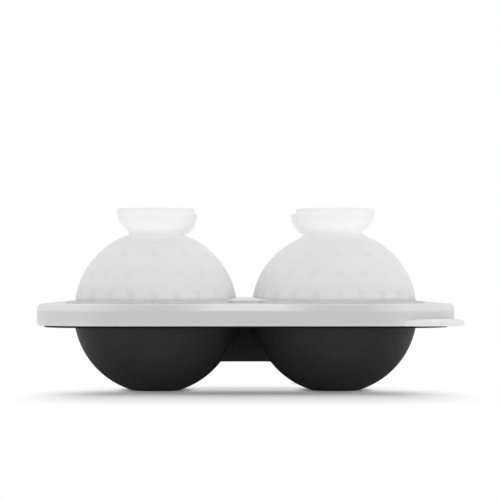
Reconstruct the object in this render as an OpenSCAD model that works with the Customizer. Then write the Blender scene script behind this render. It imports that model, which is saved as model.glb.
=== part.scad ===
// Golf ball ice mold: a black tray of four soft cups and a frosted lid of four soft domes.
// Each cup and dome close on one dimpled ball, which is filled with water through a funnel.
// Lengths are in millimetres, +Z is up, the front is -Y and the feet stand on Z = 0.

/* [Ice ball] */
// Diameter of the ball that each cavity makes
ball_d = 45; // [40:0.5:60]
// Diameter of one dimple
dimple_d = 4.4; // [3:0.1:5]
// Depth of one dimple below the ball
dimple_depth = 0.5; // [0.2:0.05:0.8]
// Angle from the parting plane to the first ring of dimples
first_ring_angle = 11.7; // [9:0.1:14]
// Angle from one ring of dimples to the next
ring_angle = 16; // [15:0.1:17]
// Dimples in each ring, from the parting plane towards the pole
ring_counts = [22, 18, 12, 8, 4]; // [1:1:22]

/* [Cups and domes] */
// Wall of a cup or dome
wall = 2.5; // [1.8:0.1:4]
// How far the flat foot cuts into a cup's round outside
foot_cut = 0.9; // [0.3:0.1:1.2]
// How far the seating flange stands out past the wall
flange_w = 1.6; // [1:0.1:3]
// Thickness of the seating flange
flange_t = 1.6; // [1.4:0.1:2]
// Width of the sealing tongue round a cup
tongue_w = 1.2; // [0.6:0.1:1.6]
// Height of the sealing tongue round a cup
tongue_h = 1; // [0.5:0.1:1.2]

/* [Fill funnel] */
// Diameter of the fill hole
hole_d = 8; // [5:0.5:11]
// Outside diameter of the neck under the funnel
neck_d = 16.6; // [14:0.2:20]
// Width of the sloped foot where the neck meets the dome
neck_foot = 0.8; // [0.4:0.1:1.5]
// Outside diameter of the funnel's rim
funnel_d = 24; // [20:0.5:32]
// Height of the funnel's rim above the dome's crown
funnel_h = 6.5; // [5:0.1:12]
// Height of the straight band at the funnel's rim
funnel_band = 1.2; // [0.2:0.1:2]
// Radius of the funnel's rounded side
bowl_round = 6; // [5:0.1:9]
// Wall of the funnel
funnel_wall = 1.5; // [1:0.1:2.5]

/* [Lid frame] */
// Thickness of the lid's deck
lid_deck_t = 2.6; // [2.2:0.1:5]
// Distance from the domes to the side of the lid
rim_margin = 10.5; // [8:0.1:16]
// Radius of the lid's corners
corner_r = 24; // [14:0.5:30]
// Radius of the lid's top edge
edge_round = 2; // [0.5:0.1:2.2]
// How far the skirt hangs below the parting plane
skirt_h = 4; // [3:0.1:8]
// Wall of the skirt
skirt_t = 1.8; // [1.6:0.1:4]
// Radius of the skirt's lower edge
skirt_round = 0.6; // [0.2:0.1:0.8]
// Width of the collar round each dome
collar_w = 2.4; // [1:0.1:3]
// Height of the collar above the deck
collar_h = 0.7; // [0.4:0.1:2]
// Height of the collar's upright edge above the deck
collar_edge = 0.25; // [0.1:0.05:0.4]
// Width of the slope on the collar
collar_slope = 1; // [0.5:0.1:1]
// Height of the raised middle between the domes above the deck
middle_h = 1.5; // [0.6:0.1:4]
// How far the raised middle's ridges run out past the domes' axes
middle_reach = 15; // [6:0.5:16]
// Width of the flat on top of each ridge
middle_flat = 6; // [2:0.5:10]
// Width of the slope from that flat down to the deck
middle_fall = 9; // [5:0.5:14]
// Slope on the upper edge of the ridges' ends
middle_slope = 0.5; // [0.2:0.1:0.6]

/* [Pull tab] */
// Radius of the tab's round end
tab_r = 11.5; // [6:0.5:14]
// How far the tab stands out past the lid's corner
tab_reach = 7.5; // [3:0.1:11]
// Thickness of the tab
tab_t = 2.1; // [1.5:0.1:2.8]
// Radius of the tab's lower edge
tab_round = 0.5; // [0.2:0.1:0.7]
// Width of the rounding on the tab's upper edge
tab_crown_w = 4; // [0.5:0.1:5]
// Height of the rounding on the tab's upper edge
tab_crown_h = 0.9; // [0.2:0.1:1]

/* [Tray frame] */
// Thickness of the tray's deck
tray_deck_t = 2.6; // [2.2:0.1:5]
// Wall of the tray's turned-down lip
lip_t = 2; // [1.2:0.1:4]
// How far the lip shows below the lid's skirt
lip_show = 0.6; // [0.2:0.1:3]
// Radius of the lip's lower edge
lip_round = 0.5; // [0.2:0.1:0.6]
// Slope on the deck's upper edge that leads into the skirt
lead_in = 0.6; // [0.2:0.1:1]
// How far the ribs between the cups hang below the parting plane
rib_drop = 15.3; // [6:0.1:18]
// Thickness of the ribs
rib_t = 3; // [1.5:0.1:6]
// Radius of the fillets that the ribs end in, round the cups
rib_fillet = 2; // [1:0.1:3]
// Wall of the fillets at their edge
fillet_edge = 0.3; // [0.2:0.05:0.6]

/* [Fits] */
// Land left between neighbouring flange seats
land = 1.4; // [0.8:0.1:6]
// Gap between a soft piece and the frame round it
seat_gap = 0.2; // [0.1:0.05:0.4]
// Gap between the tray's lip and the lid's skirt
skirt_gap = 0.3; // [0.2:0.05:0.6]
// Gap between the tongue and its groove
seal_gap = 0.25; // [0.1:0.05:0.3]

/* [Hidden] */
$fn = 96;
// Steps in each rounded edge
ARC_STEPS = 8;
// How far a cut runs past the face it opens
CUT = 1;
// How deep the fillets start inside the ribs
FILLET_SINK = 0.1;
ball_r = ball_d / 2;
outer_r = ball_r + wall;
flange_r = outer_r + flange_w;
seat_r = flange_r + seat_gap;
seat_ball_r = outer_r + seat_gap;
pitch = 2 * seat_r + land;
spot = pitch / 2;
part_z = outer_r - foot_cut;

// A dimple is a sphere that meets the ball in a circle of the dimple's diameter.
dimple_edge = ball_r - sqrt(ball_r ^ 2 - (dimple_d / 2) ^ 2);
dimple_rise = dimple_depth - dimple_edge;
dimple_r = ((dimple_d / 2) ^ 2 + dimple_rise ^ 2) / (2 * dimple_rise);
dimple_centre = ball_r - dimple_depth + dimple_r;

tongue_mid = (ball_r + flange_r) / 2;
groove_w = tongue_w + 2 * seal_gap;
groove_h = tongue_h + seal_gap;

hole_r = hole_d / 2;
neck_r = neck_d / 2;
neck_sink = neck_foot / 2;
funnel_r = funnel_d / 2;
funnel_top = outer_r + funnel_h;
bowl_z = funnel_top - funnel_band;

lid_w = 2 * (spot + outer_r + rim_margin);
tray_w = lid_w - 2 * (skirt_t + skirt_gap);
tray_corner_r = corner_r - skirt_t - skirt_gap;
lip_drop = skirt_h + lip_show;
collar_r = seat_ball_r + collar_w;

BLACK = [0.11, 0.11, 0.12];
FROST = [0.84, 0.85, 0.86];
MILK = [0.92, 0.93, 0.94];

// Name and side of each ball: X is -1 for left and +1 for right, Y is -1 for front and +1 for rear.
SPOTS = [
    ["front_left", [-1, -1]],
    ["front_right", [1, -1]],
    ["rear_left", [-1, 1]],
    ["rear_right", [1, 1]]
];

// Points of an arc about a centre, from one angle to another.
function arc(centre, r, from, to) = [
    for (i = [0:ARC_STEPS])
        let (a = from + (to - from) * i / ARC_STEPS)
        centre + r * [cos(a), sin(a)]
];

// The upper half of the ball's dimples cut the ball, in as many rings as are asked for.
module golf_ball(rings) {
    difference() {
        sphere(ball_r);
        for (ring = [0:rings - 1], i = [0:ring_counts[ring] - 1])
            rotate([0, -(first_ring_angle + ring * ring_angle), 360 * i / ring_counts[ring] - 90])
                translate([dimple_centre, 0, 0])
                    sphere(dimple_r, $fn = 32);
    }
}

// A ring with a square section about a ball's axis.
module ring(mid_r, w, z0, z1) {
    translate([0, 0, z0])
        rotate_extrude()
            translate([mid_r - w / 2, 0])
                square([w, z1 - z0]);
}

// Half of the round outside, cut flat a little way in from its pole.
module half_ball(flat) {
    intersection() {
        sphere(outer_r);
        cylinder(r = outer_r + CUT, h = outer_r - flat);
    }
}

// The neck and bowl of the funnel, before it is hollowed.
module funnel_body() {
    foot_r = neck_r + neck_foot;
    foot_z = sqrt(outer_r ^ 2 - foot_r ^ 2);
    cylinder(r = neck_r, h = bowl_z);
    translate([0, 0, foot_z - neck_sink])
        cylinder(r1 = foot_r + neck_sink, r2 = neck_r, h = neck_foot + neck_sink);
    bowl(0, funnel_top);
}

// The bowl's round side, drawn in by an inset, with a straight band up to its top.
module bowl(inset, top) {
    round_r = bowl_round - inset;
    centre_r = funnel_r - bowl_round;
    rotate_extrude()
        polygon(concat(
            [[0, bowl_z - round_r]],
            arc([centre_r, bowl_z], round_r, -90, 0),
            [[centre_r + round_r, top], [0, top]]
        ));
}

// A slab with round corners. Its edge section, the children, starts at the corner's axis.
module slab(size, r, z0, z1) {
    ix = size.x / 2 - r;
    iy = size.y / 2 - r;
    translate([-ix, -iy, z0])
        cube([2 * ix, 2 * iy, z1 - z0]);
    for (turn = [0, 180])
        rotate(turn) {
            translate([ix, iy])
                rotate_extrude(angle = 90)
                    children();
            translate([ix, -iy])
                rotate(-90)
                    rotate_extrude(angle = 90)
                        children();
            translate([ix, iy])
                rotate([90, 0, 0])
                    linear_extrude(2 * iy)
                        children();
            translate([-ix, iy])
                rotate([90, 0, 90])
                    linear_extrude(2 * ix)
                        children();
        }
}

// A body at each ball's place.
module at_spots() {
    for (s = SPOTS)
        translate(spot * s[1])
            children();
}

// Straight ties from each ball to its two neighbours.
module ties(t, z0, z1) {
    for (side = [0:90:270])
        rotate(side)
            translate([-spot, -spot - t / 2, z0])
                cube([2 * spot, t, z1 - z0]);
}

// Section across a rib's end, from inside the cup to where its two fillets run into the rib.
module fillet_section() {
    edge_r = seat_ball_r + fillet_edge;
    centre_h = rib_t / 2 - FILLET_SINK + rib_fillet;
    centre_r = sqrt((edge_r + rib_fillet) ^ 2 - centre_h ^ 2);
    lean = atan2(centre_h, centre_r);
    side = concat(
        arc([centre_r, centre_h], rib_fillet, -90, lean - 180),
        [(seat_ball_r - CUT) * [cos(lean), sin(lean)]]
    );
    polygon(concat(
        side,
        [for (i = [len(side) - 1:-1:0]) [side[i].x, -side[i].y]]
    ));
}

// The fillets at both ends of each rib, before the cups are cut from them.
module rib_fillets() {
    sweep = asin(rib_drop / (seat_ball_r - CUT));
    intersection() {
        ties(rib_t + 2 * rib_fillet, -rib_drop, -tray_deck_t / 2);
        for (side = [0:90:270], end = [0, 1])
            rotate(side)
                mirror([end, 0, 0])
                    translate([-spot, -spot, 0])
                        rotate([90, sweep, 0])
                            rotate_extrude(angle = sweep)
                                fillet_section();
    }
}

// Section of the lid's edge: deck, rounded top edge and skirt.
module lid_section() {
    inner = corner_r - skirt_t;
    polygon(concat(
        [[0, 0], [inner, 0], [inner, -skirt_h]],
        arc([corner_r - skirt_round, skirt_round - skirt_h], skirt_round, -90, 0),
        arc([corner_r - edge_round, lid_deck_t - edge_round], edge_round, 0, 90),
        [[0, lid_deck_t]]
    ));
}

// Section of the tray's edge: deck, lead-in and turned-down lip.
module tray_section() {
    inner = tray_corner_r - lip_t;
    polygon(concat(
        [[0, -tray_deck_t], [inner, -tray_deck_t], [inner, -lip_drop]],
        arc([tray_corner_r - lip_round, lip_round - lip_drop], lip_round, -90, 0),
        [[tray_corner_r, -lead_in], [tray_corner_r - lead_in, 0], [0, 0]]
    ));
}

// Section of the tab from the axis of its round end to its edge, which is crowned above.
module tab_section() {
    crown = arc([0, 0], 1, 0, 90);
    polygon(concat(
        [[0, 0]],
        arc([tab_r - tab_round, tab_round], tab_round, -90, 0),
        [for (p = crown) [tab_r - tab_crown_w * (1 - p.x), tab_t - tab_crown_h * (1 - p.y)]],
        [[0, tab_t]]
    ));
}

// The round pull tab on the front right corner, level with the skirt's lower edge.
module pull_tab() {
    inset = lid_w / 2 - corner_r;
    pocket_w = lid_w - skirt_t;
    pocket_r = corner_r - skirt_t / 2;
    difference() {
        translate([inset, -inset, -skirt_h])
            rotate(-45)
                translate([corner_r + tab_reach - tab_r, 0, 0])
                    rotate_extrude()
                        tab_section();
        slab([pocket_w, pocket_w], pocket_r, -skirt_h - CUT, CUT)
            translate([0, -skirt_h - CUT])
                square([pocket_r, skirt_h + 2 * CUT]);
    }
}

// The raised middle of the lid's deck: two crossing ridges, before the domes are cut from them.
module raised_middle() {
    half = spot + middle_reach;
    low = lid_deck_t / 2;
    top = lid_deck_t + middle_h;
    foot = middle_flat / 2 + middle_fall * (top - low) / middle_h;
    for (turn = [0, 90])
        rotate(turn)
            intersection() {
                rotate([90, 0, 0])
                    linear_extrude(2 * half, center = true)
                        polygon([[-foot, low], [foot, low], [middle_flat / 2, top], [-middle_flat / 2, top]]);
                rotate([90, 0, 90])
                    linear_extrude(2 * foot, center = true)
                        polygon([
                            [-half, low],
                            [half, low],
                            [half, top - middle_slope],
                            [half - middle_slope, top],
                            [middle_slope - half, top],
                            [-half, top - middle_slope]
                        ]);
            }
}

// The stiff black frame that carries the cups.
module tray_frame() {
    color(BLACK)
        translate([0, 0, part_z])
            difference() {
                union() {
                    slab([tray_w, tray_w], tray_corner_r, -tray_deck_t, 0)
                        tray_section();
                    ties(rib_t, -rib_drop, -tray_deck_t / 2);
                    rib_fillets();
                }
                at_spots() {
                    sphere(seat_ball_r);
                    translate([0, 0, -flange_t])
                        cylinder(r = seat_r, h = flange_t + CUT);
                }
            }
}

// One soft black cup with its foot, seating flange, sealing tongue and dimples.
module cup(side) {
    color(BLACK)
        translate([spot * side.x, spot * side.y, part_z])
            difference() {
                union() {
                    mirror([0, 0, 1])
                        half_ball(foot_cut);
                    translate([0, 0, -flange_t])
                        cylinder(r = flange_r, h = flange_t);
                    ring(tongue_mid, tongue_w, -flange_t / 2, tongue_h);
                }
                mirror([0, 0, 1])
                    golf_ball(len(ring_counts));
            }
}

// The stiff frosted frame that carries the domes, with its skirt and pull tab.
module lid_frame() {
    color(FROST)
        translate([0, 0, part_z])
            difference() {
                union() {
                    slab([lid_w, lid_w], corner_r, 0, lid_deck_t)
                        lid_section();
                    at_spots()
                        rotate_extrude()
                            polygon([
                                [0, lid_deck_t / 2],
                                [collar_r, lid_deck_t / 2],
                                [collar_r, lid_deck_t + collar_edge],
                                [collar_r - collar_slope, lid_deck_t + collar_h],
                                [0, lid_deck_t + collar_h]
                            ]);
                    raised_middle();
                    pull_tab();
                }
                at_spots() {
                    sphere(seat_ball_r);
                    translate([0, 0, -CUT])
                        cylinder(r = seat_r, h = flange_t + CUT);
                }
            }
}

// One soft milky dome with its funnel, seating flange, sealing groove and dimples.
module dome(side) {
    color(MILK)
        translate([spot * side.x, spot * side.y, part_z])
            difference() {
                union() {
                    half_ball(0);
                    cylinder(r = flange_r, h = flange_t);
                    funnel_body();
                }
                golf_ball(len(ring_counts) - 1);
                ring(tongue_mid, groove_w, -CUT, groove_h);
                bowl(funnel_wall, funnel_top + CUT);
                cylinder(r = hole_r, h = bowl_z);
            }
}

tray_frame();
lid_frame();
for (s = SPOTS) {
    cup(s[1]);
    dome(s[1]);
}
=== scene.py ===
"""Looks of the golf ball ice mold: milky domes and a frosted rim over a satin black tray of cups."""
import math

import bpy
import numpy as np
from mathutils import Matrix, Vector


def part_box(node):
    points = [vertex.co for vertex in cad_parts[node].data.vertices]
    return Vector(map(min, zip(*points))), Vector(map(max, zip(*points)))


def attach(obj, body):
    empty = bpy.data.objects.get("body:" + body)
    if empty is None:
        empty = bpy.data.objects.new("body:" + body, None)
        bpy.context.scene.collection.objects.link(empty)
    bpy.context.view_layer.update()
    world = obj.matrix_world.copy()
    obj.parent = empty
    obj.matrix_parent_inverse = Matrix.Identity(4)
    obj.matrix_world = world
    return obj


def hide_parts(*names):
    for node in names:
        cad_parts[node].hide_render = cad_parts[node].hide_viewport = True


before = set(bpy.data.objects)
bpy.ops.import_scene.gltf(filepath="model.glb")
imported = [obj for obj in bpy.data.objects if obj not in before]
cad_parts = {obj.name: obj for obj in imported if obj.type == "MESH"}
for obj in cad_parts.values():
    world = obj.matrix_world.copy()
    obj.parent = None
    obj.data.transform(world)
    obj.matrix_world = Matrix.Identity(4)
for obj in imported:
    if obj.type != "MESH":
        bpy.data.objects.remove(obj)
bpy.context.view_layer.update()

MM = 0.001
SPOTS = ("front_left", "front_right", "rear_left", "rear_right")

# Places in millimetres, from the frame's boxes and two thicknesses of the lid.
LID_DECK_T = 2.6
TAB_T = 2.1
lid_low, lid_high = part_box("lid_frame")
dome_low, dome_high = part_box("dome_rear_right")
SPOT = (dome_low.y + dome_high.y) / 2 / MM
PARTING_Z = dome_low.z / MM
SKIRT_Z = lid_low.z / MM
MIDDLE_Z = lid_high.z / MM
DECK_Z = PARTING_Z + LID_DECK_T
TAB_Z = SKIRT_Z + TAB_T

# Sizes of the soft pieces in millimetres, measured from the parting plane on each ball's axis.
BALL_R = 22.5
WALL = 2.5
OUTER_R = BALL_R + WALL
CUP_PROUD = 0.12
CUP_R = OUTER_R + CUP_PROUD
FLANGE_W = 1.6
FLANGE_R = OUTER_R + FLANGE_W
FLANGE_T = 1.6
FOOT_Z = -PARTING_Z
FOOT_ROUND = 0.8
TONGUE_IN, TONGUE_OUT = 23.95, 25.15
TONGUE_H = 1.0
SEAL_GAP = 0.25
HOLE_R = 4.0
NECK_R = 8.3
NECK_FILLET = 1.0
FUNNEL_R = 12.0
FUNNEL_WALL = 1.5
FUNNEL_TOP = dome_high.z / MM - PARTING_Z
FUNNEL_BAND = 1.2
BOWL_R = 6.0
BOWL_AXIS_R = FUNNEL_R - BOWL_R
BOWL_Z = FUNNEL_TOP - FUNNEL_BAND
BOWL_FILLET = 0.6
LIP_ROUND = 0.4
EDGE_ROUND = 0.3

# Dimples of the ball: the angle of each ring from the parting plane and how many it holds.
RINGS = ((11.7, 22), (27.7, 18), (43.7, 12), (59.7, 8), (75.7, 4))
DOME_RINGS = RINGS[:4]
DIMPLE_D = 4.4
DIMPLE_DEPTH = 0.5

# How finely the soft pieces are divided, and how near a point counts as on the ball or the axis.
TURN_STEPS = 256
OUTSIDE_STEPS = 48
DOME_CAVITY_STEPS = 84
CUP_CAVITY_STEPS = 96
FUNNEL_STEPS = 16
NECK_STEPS = 8
BOWL_FILLET_STEPS = 6
LIP_STEPS = 5
EDGE_STEPS = 4
SHARP_ANGLE = math.radians(35)
ON_BALL = 1e-6
ON_AXIS = 1e-9


def arc(centre, radius, start, end, steps):
    """Points of an arc in a section of (radius, height), by angles in degrees."""
    angles = np.radians(np.linspace(start, end, steps + 1))
    return [(centre[0] + radius * math.cos(a), centre[1] + radius * math.sin(a)) for a in angles]


def angle_of(point, centre=(0.0, 0.0)):
    """The angle in degrees of a section point about a centre."""
    return math.degrees(math.atan2(point[1] - centre[1], point[0] - centre[0]))


def towards(centre, target, distance):
    """The point at a distance from a centre on the line to a target."""
    gap = math.dist(centre, target)
    return tuple(c + (t - c) * distance / gap for c, t in zip(centre, target))


def flange_section(side, outer_r):
    """Points round the seating flange from its face at the parting plane to the ball's outside."""
    back_z = side * FLANGE_T
    back_r = math.sqrt(outer_r ** 2 - back_z ** 2)
    edge_r = FLANGE_R - EDGE_ROUND
    low = arc((edge_r, side * EDGE_ROUND), EDGE_ROUND, -90 * side, 0, EDGE_STEPS)
    high = arc((edge_r, back_z - side * EDGE_ROUND), EDGE_ROUND, 0, 90 * side, EDGE_STEPS)
    return low + high + [(back_r, back_z)]


def dome_section():
    """The closed section of a dome: groove, flange, outside, neck, funnel, fill hole and cavity."""
    groove = [
        (TONGUE_IN - SEAL_GAP, 0),
        (TONGUE_IN - SEAL_GAP, TONGUE_H + SEAL_GAP),
        (TONGUE_OUT + SEAL_GAP, TONGUE_H + SEAL_GAP),
        (TONGUE_OUT + SEAL_GAP, 0),
    ]
    flange = flange_section(1, OUTER_R)
    bowl = (BOWL_AXIS_R, BOWL_Z)
    neck_r = NECK_R + NECK_FILLET
    neck = (neck_r, math.sqrt((OUTER_R + NECK_FILLET) ** 2 - neck_r ** 2))
    under_r = NECK_R + BOWL_FILLET
    under_drop = math.sqrt((BOWL_R + BOWL_FILLET) ** 2 - (under_r - BOWL_AXIS_R) ** 2)
    under = (under_r, BOWL_Z - under_drop)
    neck_start = towards((0, 0), neck, OUTER_R)
    bowl_start = towards(bowl, under, BOWL_R)
    outside = arc((0, 0), OUTER_R, angle_of(flange[-1]), angle_of(neck_start), OUTSIDE_STEPS)
    throat = arc(neck, NECK_FILLET, angle_of(neck_start, neck), -180, NECK_STEPS)
    throat += arc(under, BOWL_FILLET, 180, angle_of(bowl_start, under), BOWL_FILLET_STEPS)
    funnel = arc(bowl, BOWL_R, angle_of(bowl_start, bowl), 0, FUNNEL_STEPS)
    lip_z = FUNNEL_TOP - LIP_ROUND
    lip = arc((FUNNEL_R - LIP_ROUND, lip_z), LIP_ROUND, 0, 90, LIP_STEPS)
    lip += arc((FUNNEL_R - FUNNEL_WALL + LIP_ROUND, lip_z), LIP_ROUND, 90, 180, LIP_STEPS)
    basin_r = BOWL_R - FUNNEL_WALL
    basin = arc(bowl, basin_r, 0, -90, FUNNEL_STEPS)
    hole_centre = (HOLE_R + EDGE_ROUND, BOWL_Z - basin_r - EDGE_ROUND)
    hole = arc(hole_centre, EDGE_ROUND, 90, 180, EDGE_STEPS)
    hole_end = (HOLE_R, math.sqrt(BALL_R ** 2 - HOLE_R ** 2))
    cavity = arc((0, 0), BALL_R, angle_of(hole_end), 0, DOME_CAVITY_STEPS)
    return groove + flange + outside[1:] + throat[1:] + funnel[1:] + lip + basin + hole + cavity


def cup_section():
    """The section of a cup from the middle of its foot, round its outside, to its cavity's floor."""
    foot_r = math.sqrt(CUP_R ** 2 - FOOT_Z ** 2)
    foot_centre_r = math.sqrt((CUP_R - FOOT_ROUND) ** 2 - (FOOT_Z + FOOT_ROUND) ** 2)
    foot_centre = (foot_centre_r, FOOT_Z + FOOT_ROUND)
    foot = [(0, FOOT_Z), (foot_r / 2, FOOT_Z)]
    foot += arc(foot_centre, FOOT_ROUND, -90, angle_of(foot_centre), EDGE_STEPS)
    flange = flange_section(-1, CUP_R)[::-1]
    outside = arc((0, 0), CUP_R, angle_of(foot_centre), angle_of(flange[0]), OUTSIDE_STEPS)
    top = TONGUE_H - EDGE_ROUND
    tongue = [(TONGUE_OUT, 0)]
    tongue += arc((TONGUE_OUT - EDGE_ROUND, top), EDGE_ROUND, 0, 90, EDGE_STEPS)
    tongue += arc((TONGUE_IN + EDGE_ROUND, top), EDGE_ROUND, 90, 180, EDGE_STEPS)
    tongue += [(TONGUE_IN, 0)]
    cavity = arc((0, 0), BALL_R, 0, -90, CUP_CAVITY_STEPS)
    cavity[-1] = (0, -BALL_R)
    return foot + outside[1:] + flange[1:] + tongue + cavity


def press_dimples(points, rings):
    """Moves the points on the ball inwards where a dimple is."""
    length = np.linalg.norm(points, axis=1)
    on_ball = np.abs(length - BALL_R) < ON_BALL
    unit = points[on_ball] / BALL_R
    height = np.abs(unit[:, 2])
    level = np.sqrt(1 - height ** 2)
    turn = np.arctan2(unit[:, 1], unit[:, 0]) + math.pi / 2
    edge = BALL_R - math.sqrt(BALL_R ** 2 - (DIMPLE_D / 2) ** 2)
    rise = DIMPLE_DEPTH - edge
    radius = ((DIMPLE_D / 2) ** 2 + rise ** 2) / (2 * rise)
    centre = BALL_R - DIMPLE_DEPTH + radius
    reach = np.full(len(unit), BALL_R)
    for angle, count in rings:
        step = 2 * math.pi / count
        aside = (turn + step / 2) % step - step / 2
        ring = math.radians(angle)
        cosine = height * math.sin(ring) + level * math.cos(ring) * np.cos(aside)
        inside = radius ** 2 - centre ** 2 * (1 - cosine ** 2)
        hit = inside > 0
        depth = centre * cosine - np.sqrt(np.where(hit, inside, 0))
        reach = np.where(hit & (cosine > 0), np.minimum(reach, depth), reach)
    points[on_ball] = unit * reach[:, None]


def turned_mesh(name, section, rings, closed):
    """A mesh in metres of a section turned about Z, with dimples pressed into its cavity."""
    turns = np.linspace(0, 2 * math.pi, TURN_STEPS, endpoint=False)
    points, rows = [], []
    for r, z in section:
        steps = turns if r > ON_AXIS else turns[:1]
        rows.append(range(len(points), len(points) + len(steps)))
        points += [(r * math.cos(t), r * math.sin(t), z) for t in steps]
    faces = []
    for a, b in zip(rows, rows[1:] + rows[:1] if closed else rows[1:]):
        for i in range(TURN_STEPS):
            j = (i + 1) % TURN_STEPS
            corners = (a[i % len(a)], a[j % len(a)], b[j % len(b)], b[i % len(b)])
            faces.append(tuple(dict.fromkeys(corners)))
    points = np.array(points)
    press_dimples(points, rings)
    mesh = bpy.data.meshes.new(name)
    mesh.from_pydata((points * MM).tolist(), [], faces)
    mesh.shade_smooth()
    mesh.set_sharp_from_angle(angle=SHARP_ANGLE)
    return mesh


# Noise of the materials: its detail, and the part of its range that is spread over the full effect.
NOISE_ROUGHNESS = 0.55
NOISE_LOW, NOISE_HIGH = 0.3, 0.7
CLOUD_DETAIL = 3.0
GRAIN_DETAIL = 4.0
GRAIN_DEPTH = 0.02 * MM

# Scales of X, Y and Z for a distance to the nearest ball's axis or middle.
TO_AXIS = (1.0, 1.0, 0.0)
TO_MIDDLE = (1.0, 1.0, 1.0)


class Shader:
    """A material's node tree, with short ways to add and link its nodes."""

    def __init__(self, name):
        self.material = bpy.data.materials.new(name)
        self.material.use_nodes = True
        self.tree = self.material.node_tree
        self.surface = self.tree.nodes["Principled BSDF"]
        coords = self.tree.nodes.new("ShaderNodeTexCoord")
        self.place = coords.outputs["Object"]

    def put(self, socket, value):
        """Links an output to a socket, or sets the socket's own value."""
        if isinstance(value, bpy.types.NodeSocket):
            self.tree.links.new(value, socket)
        else:
            socket.default_value = value

    def node(self, kind, settings, *values):
        """Adds a node and gives its inputs their values in order."""
        node = self.tree.nodes.new("ShaderNode" + kind)
        for key, value in settings.items():
            setattr(node, key, value)
        for socket, value in zip(node.inputs, values):
            self.put(socket, value)
        return node

    def math(self, operation, *values):
        """The result of an operation on numbers."""
        return self.node("Math", {"operation": operation}, *values).outputs[0]

    def product(self, amount, *factors):
        """An amount multiplied by every factor."""
        for factor in factors:
            amount = self.math("MULTIPLY", amount, factor)
        return amount

    def vector(self, operation, *values):
        """The vector that an operation on vectors results in."""
        return self.node("VectorMath", {"operation": operation}, *values).outputs[0]

    def length(self, vector):
        """The length of a vector."""
        return self.node("VectorMath", {"operation": "LENGTH"}, vector).outputs["Value"]

    def axes(self, vector):
        """The X, Y and Z of a vector."""
        return self.node("SeparateXYZ", {}, vector).outputs

    def ramp(self, value, low, high, to_low, to_high):
        """Maps a value smoothly from one range to another."""
        settings = {"interpolation_type": "SMOOTHSTEP"}
        return self.node("MapRange", settings, value, low, high, to_low, to_high).outputs[0]

    def tone(self, metres, stops):
        """Maps a length smoothly by stops: from and to in millimetres, then the value at each."""
        start, end, at_start, at_end = stops
        return self.ramp(metres, start * MM, end * MM, at_start, at_end)

    def noise(self, scale, detail):
        """Noise from 0 to 1 with features about 1 / scale metres apart."""
        node = self.node("TexNoise", {})
        self.put(node.inputs["Vector"], self.place)
        node.inputs["Scale"].default_value = scale
        node.inputs["Detail"].default_value = detail
        node.inputs["Roughness"].default_value = NOISE_ROUGHNESS
        return node.outputs["Fac"]

    def uneven(self, scale, low, high):
        """A value that wanders from low to high in patches about 1 / scale metres apart."""
        return self.ramp(self.noise(scale, CLOUD_DETAIL), NOISE_LOW, NOISE_HIGH, low, high)

    def shade(self, grey, amount):
        """A grey multiplied by an amount, as a colour."""
        node = self.node("VectorMath", {"operation": "SCALE"}, (grey, grey, grey))
        self.put(node.inputs["Scale"], amount)
        return node.outputs[0]

    def ball_distance(self, scale):
        """How far a place is from the nearest ball's middle in metres, with a scale for each axis."""
        middle = (SPOT * MM, SPOT * MM, PARTING_Z * MM)
        shift = tuple(-m * s for m, s in zip(middle, scale))
        folded = self.vector("ABSOLUTE", self.place)
        return self.length(self.vector("MULTIPLY_ADD", folded, scale, shift))

    def set(self, **values):
        """Sets the surface's sockets by name, with _ for a space."""
        for key, value in values.items():
            self.put(self.surface.inputs[key.replace("_", " ")], value)

    def grain(self, scale, strength):
        """Adds a fine moulded grain to the surface as a bump."""
        node = self.node("Bump", {})
        node.inputs["Strength"].default_value = strength
        node.inputs["Distance"].default_value = GRAIN_DEPTH
        self.put(node.inputs["Height"], self.noise(scale, GRAIN_DETAIL))
        self.put(self.surface.inputs["Normal"], node.outputs[0])


# Each material below has a GREY, a CLOUD and a ROUGHNESS of (noise scale, low, high), and a GRAIN of
# (noise scale, strength). The other groups of four are stops for Shader.tone.
SILICONE_IOR = 1.41
PLASTIC_IOR = 1.49
SCATTER_COLOURS = (1.0, 1.0, 1.0)

# Milky silicone, with painted light and shade by the height above the parting plane: a paler foot, neck and
# crown, a darker funnel and a darker lip. Only the lowest rings of dimples leave marks of painted shade,
# each of its own depth, that fade out between two angles in degrees.
MILKY_GREY = 0.97
MILKY_CLOUD = (90.0, 0.98, 1.0)
MILKY_ROUGHNESS = (700.0, 0.5, 0.62)
MILKY_GRAIN = (2600.0, 0.6)
MILKY_SCATTER = 7 * MM
MILKY_CROWN_LIGHT = (20.8, 24, 0.82, 1.0)
MILKY_FOOT_LIGHT = (3, 6.5, 1.22, 1.0)
MILKY_FUNNEL_SHADE = (25, 29, 1.0, 0.8)
MILKY_LIP_SHADE = (30, 31.3, 1.0, 0.84)
DIMPLE_SHADE_DEPTHS = (0.075, 0.045, 0.045)
DIMPLE_SHADE_INNER, DIMPLE_SHADE_OUTER = math.radians(0.8), math.radians(5.0)


def dimple_shade(shader):
    """A mask of soft round painted shade over the dimples, where the thicker wall lets less light through.
    """
    x, y, z = shader.axes(shader.vector("NORMALIZE", shader.place))
    turn = shader.math("ADD", shader.math("ARCTAN2", y, x), math.pi / 2)
    climb = shader.math("ARCSINE", shader.math("ABSOLUTE", z))
    marks = 0.0
    for (angle, count), depth in zip(DOME_RINGS, DIMPLE_SHADE_DEPTHS):
        half = math.pi / count
        ring = math.radians(angle)
        aside = shader.math("MULTIPLY", shader.math("WRAP", turn, half, -half), math.cos(ring))
        above = shader.math("SUBTRACT", climb, ring)
        squares = [shader.math("POWER", side, 2.0) for side in (aside, above)]
        away = shader.math("SQRT", shader.math("ADD", *squares))
        mark = shader.ramp(away, DIMPLE_SHADE_INNER, DIMPLE_SHADE_OUTER, depth, 0.0)
        marks = shader.math("MAXIMUM", marks, mark)
    return marks


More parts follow.
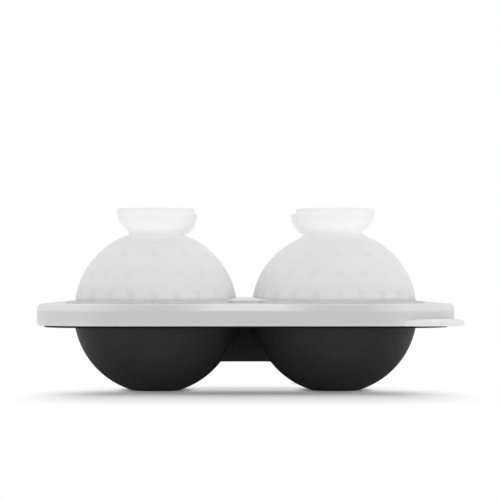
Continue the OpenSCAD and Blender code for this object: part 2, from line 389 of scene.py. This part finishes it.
def milky_silicone():
    """Milky silicone: soft light inside it, painted light and shade by height, and faint painted shade
    where the dimples thicken the wall.
    """
    shader = Shader("milky_silicone")
    height = shader.axes(shader.place)[2]
    # Painted light on the foot, neck and crown, and painted shade on the funnel and the lip, by height.
    stops = (MILKY_CROWN_LIGHT, MILKY_FOOT_LIGHT, MILKY_FUNNEL_SHADE, MILKY_LIP_SHADE)
    tones = [shader.tone(height, stop) for stop in stops]
    # Painted shade over the dimples.
    clear = shader.math("SUBTRACT", 1.0, dimple_shade(shader))
    amount = shader.product(*tones, clear, shader.uneven(*MILKY_CLOUD))
    shader.set(
        Base_Color=shader.shade(MILKY_GREY, amount),
        Roughness=shader.uneven(*MILKY_ROUGHNESS),
        IOR=SILICONE_IOR,
        Subsurface_Weight=1.0,
        Subsurface_Radius=SCATTER_COLOURS,
        Subsurface_Scale=MILKY_SCATTER,
    )
    shader.grain(*MILKY_GRAIN)
    return shader.material


# Frosted plastic. Black shows through where a cup or the tray is behind it, and that is painted shade: the
# shade of the cups and of the collars goes by the distance from a ball's axis, the shade of the tray by
# height. The tab and the corners have less behind them, so painted light lifts that shade: at the tab by X
# - Y, and at the corners by the lesser of X and Y. The rest go by height: painted shade over the deck's
# top, a painted highlight on the raised middle and another along the skirt's bottom edge.
FROSTED_GREY = 0.70
FROSTED_CLOUD = (70.0, 0.98, 1.0)
FROSTED_ROUGHNESS = (900.0, 0.42, 0.52)
FROSTED_GRAIN = (3200.0, 0.4)
FROSTED_SCATTER_WEIGHT = 0.8
FROSTED_SCATTER = 2 * MM
COLLAR_R = 27.6
CUP_BEHIND_SHADE = (35, 40.5, 0.78, 1.0)
COLLAR_SHADE = (COLLAR_R - 0.1, COLLAR_R + 0.7, 0.83, 1.0)
TRAY_BEHIND_SHADE = (PARTING_Z + 0.1, PARTING_Z + 0.9, 0.79, 1.0)
DECK_SHADE = 0.86
DECK_MASK = (DECK_Z - 0.3, DECK_Z - 0.05, 0.0, 1.0)
MIDDLE_HIGHLIGHT = (MIDDLE_Z - 0.9, MIDDLE_Z - 0.2, 0.0, 0.3)
TAB_MASK = (TAB_Z - 0.1, TAB_Z + 0.3, 1.0, 0.0)
TAB_LIGHT = (106, 110, 0.0, 0.19)
CORNER_LIGHT = (38, 50, 0.0, 0.1)
SKIRT_EDGE_HIGHLIGHT = (SKIRT_Z + 0.15, SKIRT_Z + 0.65, 1.22, 1.0)


def frosted_plastic():
    """Frosted plastic of the lid's frame: finely etched, with painted shade where black lies behind it and
    painted highlights on its raised middle and skirt edge.
    """
    shader = Shader("frosted_plastic")
    x, y, z = shader.axes(shader.place)
    away = shader.ball_distance(TO_AXIS)
    deck = shader.tone(z, DECK_MASK)
    # A painted highlight on the raised middle.
    middle = shader.tone(z, MIDDLE_HIGHLIGHT)
    # Painted shade beside the cups and over the deck's top.
    near = shader.tone(away, CUP_BEHIND_SHADE)
    near = shader.math("MAXIMUM", near, shader.math("MULTIPLY", deck, DECK_SHADE))
    near = shader.math("MINIMUM", near, shader.math("MULTIPLY_ADD", deck, DECK_SHADE - 1, 1.0))
    near = shader.math("ADD", near, middle)
    # Painted shade at the collars round the domes' feet.
    collar = shader.math("ADD", shader.tone(away, COLLAR_SHADE), middle)
    collar = shader.math("MINIMUM", collar, 1.0)
    # Painted light at the tab and, below, at the corners, which lifts the painted shade of the tray behind.
    tab = shader.tone(shader.math("SUBTRACT", x, y), TAB_LIGHT)
    tab = shader.math("MULTIPLY", tab, shader.tone(z, TAB_MASK))
    aside = shader.math("MINIMUM", shader.math("ABSOLUTE", x), shader.math("ABSOLUTE", y))
    # Painted shade where the tray lies behind the skirt.
    behind_shade = shader.math("ADD", shader.tone(z, TRAY_BEHIND_SHADE), tab)
    behind_shade = shader.math("ADD", behind_shade, shader.tone(aside, CORNER_LIGHT))
    amount = shader.math("MINIMUM", shader.math("MINIMUM", near, behind_shade), 1.0)
    # A painted highlight along the skirt's bottom edge.
    edge = shader.tone(z, SKIRT_EDGE_HIGHLIGHT)
    amount = shader.product(amount, collar, edge, shader.uneven(*FROSTED_CLOUD))
    shader.set(
        Base_Color=shader.shade(FROSTED_GREY, amount),
        Roughness=shader.uneven(*FROSTED_ROUGHNESS),
        IOR=PLASTIC_IOR,
        Subsurface_Weight=FROSTED_SCATTER_WEIGHT,
        Subsurface_Radius=SCATTER_COLOURS,
        Subsurface_Scale=FROSTED_SCATTER,
    )
    shader.grain(*FROSTED_GRAIN)
    return shader.material


# Black silicone of the cups, with painted shade by the height above the parting plane.
CUP_GREY = 0.029
CUP_CLOUD = (80.0, 0.85, 1.0)
CUP_ROUGHNESS = (800.0, 0.58, 0.7)
CUP_GRAIN = (3000.0, 0.7)
CUP_SPECULAR = 0.3
CUP_LOW_SHADE = (-19, -3, 0.78, 1.12)


def black_silicone():
    """Satin black silicone of the cups, with a fine moulded grain and painted shade that makes it darker
    low down.
    """
    shader = Shader("black_silicone")
    # Painted shade: darker low down.
    depth = shader.tone(shader.axes(shader.place)[2], CUP_LOW_SHADE)
    amount = shader.product(shader.uneven(*CUP_CLOUD), depth)
    shader.set(
        Base_Color=shader.shade(CUP_GREY, amount),
        Roughness=shader.uneven(*CUP_ROUGHNESS),
        IOR=SILICONE_IOR,
        Specular_IOR_Level=CUP_SPECULAR,
    )
    shader.grain(*CUP_GRAIN)
    return shader.material


# Black plastic of the tray's frame, with painted light and shade: its ribs paler low and darker high, by
# height, and their fillets paler by the distance from a ball's middle.
TRAY_GREY = 0.012
TRAY_CLOUD = (60.0, 0.85, 1.0)
TRAY_ROUGHNESS = (900.0, 0.5, 0.62)
TRAY_GRAIN = (3400.0, 0.7)
TRAY_SPECULAR = 0.12
TRAY_RIB_SHADING = (8, 19, 1.4, 0.5)
TRAY_FILLET_LIGHT = (25.4, 27.2, 3.2, 1.0)


def black_plastic():
    """Satin black plastic of the tray's frame, with painted light low on its ribs and on their fillets, and
    painted shade high on the ribs.
    """
    shader = Shader("black_plastic")
    # Painted light low on the ribs and painted shade high on them, then painted light on the fillets.
    rib_shading = shader.tone(shader.axes(shader.place)[2], TRAY_RIB_SHADING)
    fillet_light = shader.tone(shader.ball_distance(TO_MIDDLE), TRAY_FILLET_LIGHT)
    amount = shader.product(rib_shading, fillet_light, shader.uneven(*TRAY_CLOUD))
    shader.set(
        Base_Color=shader.shade(TRAY_GREY, amount),
        Roughness=shader.uneven(*TRAY_ROUGHNESS),
        IOR=PLASTIC_IOR,
        Specular_IOR_Level=TRAY_SPECULAR,
    )
    shader.grain(*TRAY_GRAIN)
    return shader.material


def soft_pieces(kind, mesh, material, body):
    """Four copies of a turned mesh, each in the place of its CAD node."""
    mesh.materials.append(material)
    for spot in SPOTS:
        node = f"{kind}_{spot}"
        low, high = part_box(node)
        plane = low.z if kind == "dome" else high.z - TONGUE_H * MM
        piece = bpy.data.objects.new(f"soft_{node}", mesh)
        bpy.context.scene.collection.objects.link(piece)
        piece.location = ((low.x + high.x) / 2, (low.y + high.y) / 2, plane)
        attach(piece, body)
        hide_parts(node)


def dress_node(name, material):
    """Gives a CAD node its material."""
    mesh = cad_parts[name].data
    mesh.materials.clear()
    mesh.materials.append(material)


dome_mesh = turned_mesh("soft_dome", dome_section(), DOME_RINGS, True)
cup_mesh = turned_mesh("soft_cup", cup_section(), RINGS, False)
soft_pieces("dome", dome_mesh, milky_silicone(), "lid")
soft_pieces("cup", cup_mesh, black_silicone(), "tray")
dress_node("lid_frame", frosted_plastic())
dress_node("tray_frame", black_plastic())


# The camera's place in metres, its angles in degrees, its lens and sensor in millimetres.
CAMERA_PLACE = (-0.0066, -0.7925, 0.0322)
CAMERA_PITCH = 0.804
CAMERA_YAW = -0.597
CAMERA_LENS = 179.6
CAMERA_SENSOR = 36.0
CAMERA_LEVEL = 90

# The floor and the oval on it that keeps its shadow, in metres. OVAL_EDGE counts in radii of the oval.
# The other groups of four are stops: three by Y, CONTACT and MIRRORED by a distance.
FLOOR_SIZE = 6.0
FLOOR_GREY = 0.9
FLOOR_GREY_SEEN = 0.86
FLOOR_ROUGHNESS = 0.9
SHADOW_MIDDLE_Y = -0.08
SHADOW_HALF_X = 0.066
SHADOW_HALF_Y = 0.1
OVAL_EDGE = (0.6, 1.1, 1.0, 0.0)
SHADOW_FRONT = (-135, -85, 0.0, 1.0)
SHADOW_UNDER = (-56, -20, 1.0, 0.36)
SHADOW_REAR = (-20, 20, 1.0, 0.0)
CONTACT_SCALE = (1.0, 0.5, 0.0)
CONTACT = (7, 14, 0.15, 1.0)
MIRRORED = (70, 200, 0.0, 1.0)

# The world's strength as a light and as a background.
WORLD_LIGHT = 0.75
WORLD_SEEN = 1.0
WHITE = (1.0, 1.0, 1.0, 1.0)

# Softboxes: the name, place, target and size in metres, and the power in watts.
FLOOR_MIDDLE = (0, 0, 0)
MOLD_MIDDLE = (0, 0, 0.03)
SOFTBOXES = (
    ("rear_softbox", (0.0, 0.7, 1.0), FLOOR_MIDDLE, 0.9, 2.5),
    ("front_softbox", (0.1, -1.1, 0.25), MOLD_MIDDLE, 0.8, 3.2),
    ("left_softbox", (-1.0, -0.3, 0.4), MOLD_MIDDLE, 0.6, 1.0),
    ("right_softbox", (1.0, -0.3, 0.4), MOLD_MIDDLE, 0.6, 1.3),
)


def add_camera():
    """A long lens a little above the parting plane, as the mold was photographed."""
    data = bpy.data.cameras.new("camera")
    data.lens = CAMERA_LENS
    data.sensor_width = CAMERA_SENSOR
    camera = bpy.data.objects.new("camera", data)
    camera.location = CAMERA_PLACE
    tilt = math.radians(CAMERA_LEVEL + CAMERA_PITCH)
    camera.rotation_euler = (tilt, 0, math.radians(CAMERA_YAW))
    bpy.context.scene.collection.objects.link(camera)
    bpy.context.scene.camera = camera


def seen_rays(tree):
    """1 on the rays that show a background: camera, glossy and transmission rays."""
    path = tree.nodes.new("ShaderNodeLightPath").outputs
    rays = path["Is Camera Ray"]
    for name in ("Is Glossy Ray", "Is Transmission Ray"):
        both = tree.nodes.new("ShaderNodeMath")
        both.operation = "MAXIMUM"
        tree.links.new(rays, both.inputs[0])
        tree.links.new(path[name], both.inputs[1])
        rays = both.outputs[0]
    return rays


def shadow_kept(shader):
    """1 where the floor shows its shadow as it falls, down to 0 where it shows none."""
    shrink = (1 / SHADOW_HALF_X, 1 / SHADOW_HALF_Y, 0)
    shift = (0, -SHADOW_MIDDLE_Y / SHADOW_HALF_Y, 0)
    radii = shader.length(shader.vector("MULTIPLY_ADD", shader.place, shrink, shift))
    y = shader.axes(shader.place)[1]
    tones = [shader.tone(y, stops) for stops in (SHADOW_FRONT, SHADOW_UNDER, SHADOW_REAR)]
    return shader.product(shader.ramp(radii, *OVAL_EDGE), *tones)


def add_floor():
    """A floor with a shadow in front of the mold and under its feet, and plain white elsewhere."""
    half = FLOOR_SIZE / 2
    mesh = bpy.data.meshes.new("floor")
    corners = [(-half, -half, 0), (half, -half, 0), (half, half, 0), (-half, half, 0)]
    mesh.from_pydata(corners, [], [(0, 1, 2, 3)])
    floor = bpy.data.objects.new("floor", mesh)
    bpy.context.scene.collection.objects.link(floor)
    shader = Shader("floor")
    path = shader.node("LightPath", {}).outputs
    camera_ray = path["Is Camera Ray"]
    # Where the shadow isn't kept, the camera sees a white glow in place of the lit floor.
    hidden = shader.math("SUBTRACT", 1.0, shadow_kept(shader))
    contact = shader.tone(shader.ball_distance(CONTACT_SCALE), CONTACT)
    fade = shader.product(hidden, contact, camera_ray)
    # The camera sees the floor a little darker than its light does, a painted deepening of the kept shadow.
    grey = shader.ramp(camera_ray, 0.0, 1.0, FLOOR_GREY, FLOOR_GREY_SEEN)
    grey = shader.math("MULTIPLY", grey, shader.math("SUBTRACT", 1.0, fade))
    # Reflections see the same glow, further out.
    mirror_ray = shader.math("MAXIMUM", path["Is Glossy Ray"], path["Is Transmission Ray"])
    mirrored = shader.tone(shader.length(shader.place), MIRRORED)
    mirrored = shader.math("MULTIPLY", mirrored, mirror_ray)
    shader.set(
        Base_Color=shader.shade(1.0, grey),
        Roughness=FLOOR_ROUGHNESS,
        Specular_IOR_Level=0.0,
        Emission_Color=WHITE,
        Emission_Strength=shader.math("ADD", fade, mirrored),
    )
    mesh.materials.append(shader.material)


def add_world():
    """A white world, dimmer as a light than as a background."""
    world = bpy.data.worlds.new("studio")
    bpy.context.scene.world = world
    world.use_nodes = True
    tree = world.node_tree
    background = tree.nodes["Background"]
    background.inputs["Color"].default_value = WHITE
    level = tree.nodes.new("ShaderNodeMapRange")
    level.inputs["To Min"].default_value = WORLD_LIGHT
    level.inputs["To Max"].default_value = WORLD_SEEN
    tree.links.new(seen_rays(tree), level.inputs["Value"])
    tree.links.new(level.outputs[0], background.inputs["Strength"])


def add_softbox(name, place, target, size, power):
    """A square area lamp that faces a target."""
    data = bpy.data.lights.new(name, "AREA")
    data.size = size
    data.energy = power
    lamp = bpy.data.objects.new(name, data)
    lamp.location = place
    direction = Vector(target) - Vector(place)
    lamp.rotation_euler = direction.to_track_quat("-Z", "Y").to_euler()
    bpy.context.scene.collection.objects.link(lamp)


add_camera()
add_floor()
add_world()
for softbox in SOFTBOXES:
    add_softbox(*softbox)
bpy.context.scene.view_settings.view_transform = "Standard"
